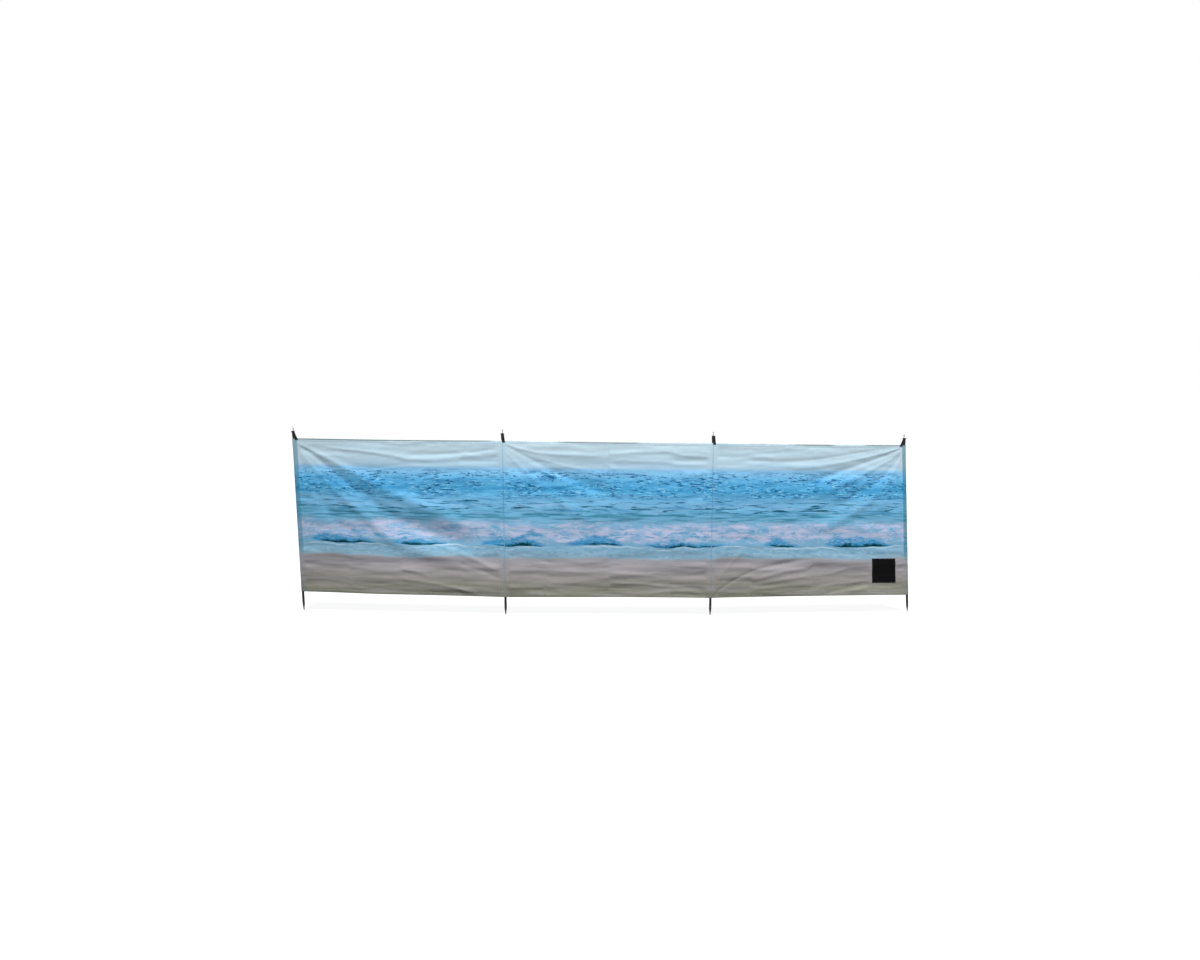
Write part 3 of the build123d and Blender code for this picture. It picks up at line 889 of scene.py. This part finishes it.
def build_seam(pole):
    """The overlocked seam over an inner pole: a low, slightly uneven bead of pale blue thread."""
    sunk = 0.0001
    t = np.linspace(0.0005, 0.9995, 420)
    x = np.linspace(-1, 1, 7)
    half_width = 0.0022 * (1 + 0.10 * value_noise(t * 60, pole, 5))
    crown = 0.0011 + 0.00016 * value_noise(t * 150, 9, 3 + pole)
    sway = 0.0006 * value_noise(t * 9, 2, 13 + pole)
    on_cloth = pole_at(pole, FOOT_GAP + CLOTH_HEIGHT * t) - SEAM_BACK[pole] * (MIDDLE + CLOTH_T / 2 - sunk)
    side = unit(ALONG[pole - 1] + ALONG[pole])
    out = unit(SEAM_BACK[pole])
    flat = on_cloth[:, None] + side * (x * half_width[:, None] + sway[:, None])[..., None]
    front = flat - out * (crown[:, None] * np.sqrt(1 - 0.92 * x ** 2))[..., None]
    uv = np.stack(np.meshgrid(x * 0.0026, t * CLOTH_HEIGHT), -1)
    thick(f"seam_bead_{pole + 1}", front, flat + out * sunk, grid_faces(front), uv, [SEAM])


def seam_runs(bay, side, layers):
    """Rows of stitches along a bay's hems and flanges: on its front for side 1 and its back for -1,
    over so many more layers of cloth."""
    pitch = 0.0044
    along = np.arange(0.026, BAY_WIDTH - 0.026, pitch) / BAY_WIDTH
    upward = np.arange(0.003, CLOTH_HEIGHT - 0.003, pitch) / CLOTH_HEIGHT
    rows = [(along, y / CLOTH_HEIGHT) for y in (CLOTH_HEIGHT - HEM + 0.003, HEM - 0.003)]
    rows += [(x / BAY_WIDTH, upward) for x in (0.0205, BAY_WIDTH - 0.0205)]
    runs = []
    for s, t in rows:
        point, n = on_bay(bay, s, t)
        runs.append((point + n * side * (CLOTH_T / 2 + layers * LAYER), n * side))
    return runs


def build_patch():
    """The blank black patch low on the last bay, its edge sewn down."""
    size, radius, from_edge = 0.196, 0.004, 0.098
    left = BAY_WIDTH - from_edge - size
    face = CLOTH_T / 2 + 0.0006

    def on_patch(x, y):
        return on_bay(2, (left + x) / BAY_WIDTH, (from_edge + y) / CLOTH_HEIGHT)

    x, y = np.meshgrid(*[np.linspace(0, size, 47)] * 2)
    # pull the corners in to a small radius
    cx, cy = (np.clip(v, radius, size - radius) for v in (x, y))
    dx, dy = x - cx, y - cy
    square, circle = np.maximum(np.abs(dx), np.abs(dy)), np.hypot(dx, dy)
    pull = np.where(circle > 1e-9, square / np.maximum(circle, 1e-9), 1)
    x, y = cx + dx * pull, cy + dy * pull
    point, n = on_patch(x, y)
    inset = np.minimum.reduce([x, size - x, y, size - y])
    puff = 0.0005 * smooth_step(inset, 0.0, 0.002) - 0.0003 * np.exp(-((inset - 0.005) / 0.0014) ** 2)
    front = point + n * (face + puff)[..., None]
    back = point + n * (CLOTH_T / 2 + 0.00005)
    piece = thick("blank_patch", front, back, grid_faces(x), np.stack([x, y], -1), [PATCH])
    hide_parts("label_patch")
    loops = []
    for a in (0.005, 0.0085):
        b = size - a
        corners = [(a, a), (b, a), (b, b), (a, b), (a, a)]
        count = int((b - a) / 0.0036)
        for (x0, y0), (x1, y1) in zip(corners, corners[1:]):
            point, n = on_patch(np.linspace(x0, x1, count), np.linspace(y0, y1, count))
            loops.append((point + n * (face + 0.0003), n))
    stitches("patch_thread", loops, GREY_THREAD, 0.0027, 0.00036)


# The tabs: webbing from the pin, over the front of the cap and down to the cloth.
TAB_WIDTH = 0.025
TAB_T = 0.0019
TAB_BEND = 0.0022  # radius of the middle of the webbing at the cap's edge
TAB_CORNER = 0.005
TAB_BEHIND = 0.0125  # from the pin's axis to the end behind it
TAB_AHEAD = 0.0120  # from the pin's axis to the middle of the hanging webbing
TAB_TOP = CAP_TOP + 0.0018
TAB_DROP = TAB_TOP - TAB_BEND - (CLOTH_TOP - 0.012)
FLAT_END = TAB_BEHIND + TAB_AHEAD - TAB_BEND
BEND_END = FLAT_END + TAB_BEND * math.pi / 2
TAB_SLANT = (0.026, 0.009, 0.009, -0.036)  # sideways from the pin to the sewn end
TAB_NARROWED = 0.12
EYELET_HOLE = 0.0055
EYELET_CUT = 0.0042  # points nearer to the pin's axis than this are left out


def between(grid, row, col):
    """Values of a grid at rows and columns that fall between its points."""
    i = np.clip(row.astype(int), 0, grid.shape[0] - 2)
    j = np.clip(col.astype(int), 0, grid.shape[1] - 2)
    down, right = (row - i)[:, None], (col - j)[:, None]
    upper = grid[i, j] * (1 - right) + grid[i, j + 1] * right
    lower = grid[i + 1, j] * (1 - right) + grid[i + 1, j + 1] * right
    return upper * (1 - down) + lower * down


def tab_shape(pole, x, v):
    """The webbing's middle layer, for places across it (x) and along it (v), and where it is cut out."""
    bay = min(pole, 2)
    # level from the end behind the pin, with rounded corners, then bent down at the cap's edge
    beside = np.clip(np.abs(x) - (TAB_WIDTH / 2 - TAB_CORNER), 0, TAB_CORNER)
    reach = TAB_BEHIND - TAB_CORNER + np.sqrt(TAB_CORNER ** 2 - beside ** 2)
    ahead = np.maximum(TAB_BEHIND - v, TAB_BEND - TAB_AHEAD)
    y = np.where(v < TAB_BEHIND, reach * (1 - v / TAB_BEHIND), ahead)
    bent = np.clip((v - FLAT_END) / TAB_BEND, 0, math.pi / 2)
    y = y - TAB_BEND * np.sin(bent)
    down = np.clip(v - BEND_END, 0, None)
    z = TAB_TOP - TAB_BEND * (1 - np.cos(bent)) - down
    slid = down / TAB_DROP
    across = x * (1 - TAB_NARROWED * smooth_step(slid, 0.0, 0.4)) + TAB_SLANT[pole] * slid
    # the drop comes to rest on the cloth
    s = across / BAY_WIDTH + (pole - bay)
    t = np.clip((z - FOOT_GAP) / CLOTH_HEIGHT, 0, 1)
    depth = depth_field(bay, np.clip(s, 0, 1), t) * ((s > 0) & (s < 1))
    lies = MIDDLE + CLOTH_T / 2 + TAB_T / 2
    settle = smooth_step(down, 0.0, TAB_DROP - 0.011)
    y = np.where(down > 0, settle * (TAB_AHEAD - lies - depth) - TAB_AHEAD, y)
    # the eyelet's hole: points well inside it are cut, and the others near it are moved onto its edge
    r = np.hypot(x, y)
    cut = (v < FLAT_END) & (r <= EYELET_CUT)
    edge = (v < FLAT_END) & (r > EYELET_CUT) & (r < EYELET_HOLE + 0.0004)
    scale = np.where(edge, EYELET_HOLE / np.maximum(r, 1e-6), 1)
    middle = (FOOT[pole] + RISE[pole] * z[..., None] + ALONG[bay] * (across * scale)[..., None]
              + BACK[bay] * (y * scale)[..., None])
    return middle, cut


def build_tab(pole):
    """The webbing, sewn on at a slant with a box and cross of thread and a bar tack."""
    columns = np.linspace(-TAB_WIDTH / 2, TAB_WIDTH / 2, 21)
    rows = np.hstack([
        np.linspace(0, FLAT_END, 19), FLAT_END + (BEND_END - FLAT_END) * np.linspace(0.2, 1, 5),
        BEND_END + TAB_DROP * np.linspace(0.03, 1, 30)])
    x, v = np.meshgrid(columns, rows)
    middle, cut = tab_shape(pole, x, v)
    n = -normals(middle)
    upper, lower = middle + n * TAB_T / 2, middle - n * TAB_T / 2
    faces = grid_faces(middle, flip=True)
    used, faces = np.unique(faces[~cut.ravel()[faces].any(1)], return_inverse=True)
    grids = upper, lower, np.stack([x, v], -1)
    front, back, flat = (grid.reshape(-1, grid.shape[-1])[used] for grid in grids)
    piece = thick(f"tab_webbing_{pole + 1}", front, back, faces.reshape(-1, 4), flat, [WEBBING])
    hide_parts(f"tab_{pole + 1}")
    a, b = rows[-1] - 0.0108, rows[-1] - 0.0022
    w = TAB_WIDTH / 2 - 0.003
    corners = [(-w, a), (w, a), (w, b), (-w, b), (-w, a), (w, b), (w, a), (-w, b)]
    bar_tack = (-w, b + 0.0008), (w, b + 0.0008)
    runs = []
    for (x0, v0), (x1, v1) in [*zip(corners, corners[1:]), bar_tack]:
        count = max(3, int(math.hypot(x1 - x0, v1 - v0) / 0.0026))
        row = np.interp(np.linspace(v0, v1, count), rows, np.arange(len(rows)))
        col = (np.linspace(x0, x1, count) / TAB_WIDTH + 0.5) * (len(columns) - 1)
        out = between(n, row, col)
        runs.append((between(middle, row, col) + out * TAB_T / 2, out))
    stitches(f"tab_thread_{pole + 1}", runs, BLACK_THREAD, 0.0022, 0.00034)


bays = [build_bay(b) for b in range(3)]
hems = [[build_hem(b, True), build_hem(b, False)] for b in range(3)]
pockets = [build_pocket(p) for p in (1, 2)]
for pole in (1, 2):
    build_seam(pole)
for bay in range(3):
    stitches(f"front_thread_{bay + 1}", seam_runs(bay, 1, 0), THREAD)
    stitches(f"back_thread_{bay + 1}", seam_runs(bay, -1, 1), THREAD)
build_patch()
for pole in range(4):
    build_tab(pole)
for p, pocket in zip((1, 2), pockets):
    f"pole_tube_{p + 1}"

# Materials of the solids. All that isn't named here is cloth.
LOOKS = {"pole_tube": TUBE, "ground_spike": SPIKE, "top_cap": PLASTIC, "top_pin": PIN, "eyelet": EYELET,
         "tab": WEBBING, "label_patch": PATCH}
for name, node in frame["nodes"].items():
    node.data.materials.clear()
    node.data.materials.append(LOOKS.get(name.rstrip("_0123456789"), PRINT))


# Floor, light and camera

AMBIENT = 0.36
FLOOR_GLOW = 0.75  # below 1, so that the object's shadow still shows on it
FLOOR_HALF = 60.0
PHOTO_WIDTH = 1200
FOCAL_PIXELS = 980.31
SENSOR = 36.0
EYE = (-1.2305, -7.5, 1.4192)
EYE_TURN = (2.8674, 0.6961, 2.7642)  # degrees: pitch, roll and yaw


def stage():
    """A floor that is white to the rays that show it, and grey to the light that bounces off it."""
    s = Surface("floor_white")
    s.set(Base_Color=(0.16, 0.16, 0.16), Roughness=1.0, Specular_IOR_Level=0.0)
    glow = s.value("Emission", {"Color": (1.0, 1.0, 1.0), "Strength": s.seen() * FLOOR_GLOW})
    s.put(s.out.inputs["Surface"], s.value("AddShader", {0: s.bsdf.outputs[0], 1: glow}))
    mesh = bpy.data.meshes.new("floor")
    corners = [(x * FLOOR_HALF, y * FLOOR_HALF, 0) for x, y in ((-1, -1), (1, -1), (1, 1), (-1, 1))]
    mesh.from_pydata(corners, [], [(0, 1, 2, 3)])
    mesh.materials.append(s.material)
    floor = placed("floor", mesh, at=(0, 0, -0.0005))


def world():
    """White to the rays that show it, and a soft light to the rest."""
    scene.world = bpy.data.worlds.new("studio")
    s = Shader(scene.world)
    level = s.value("MapRange", {0: s.seen(), 3: AMBIENT, 4: 1.0})
    s.node("OutputWorld", {"Surface": s.value("Background", {"Color": (1.0, 1.0, 1.0), "Strength": level})})


def camera():
    """Set from the photograph: nearly square-on, a little left of the plumb pole."""
    pitch, roll, yaw = map(math.radians, EYE_TURN)
    forward = np.array([math.sin(yaw) * math.cos(pitch), math.cos(yaw) * math.cos(pitch), -math.sin(pitch)])
    right = np.array([math.cos(yaw), -math.sin(yaw), 0])
    up = np.cross(right, forward)
    data = bpy.data.cameras.new("photo_view")
    data.sensor_fit = "HORIZONTAL"
    data.sensor_width = SENSOR
    data.lens = SENSOR * FOCAL_PIXELS / PHOTO_WIDTH
    data.clip_end = 200.0
    x = right * math.cos(roll) + up * math.sin(roll)
    y = up * math.cos(roll) - right * math.sin(roll)
    scene.camera = placed("photo_view", data, x, y, -forward, EYE)


def sun(name, direction, strength, softness):
    lamp = bpy.data.lights.new(name, "SUN")
    lamp.energy = strength
    lamp.angle = math.radians(softness)
    z = -unit(direction)
    x = unit(np.cross([0, 0, 1.0], z))
    placed(name, lamp, x, np.cross(z, x), z, (0, 0, 8))


stage()
world()
sun("key", (0.0, 0.36, -1.0), 5.9, 12)
sun("rear", (-0.35, -0.55, -1.0), 3.2, 16)
camera()
scene.view_settings.view_transform = "Standard"
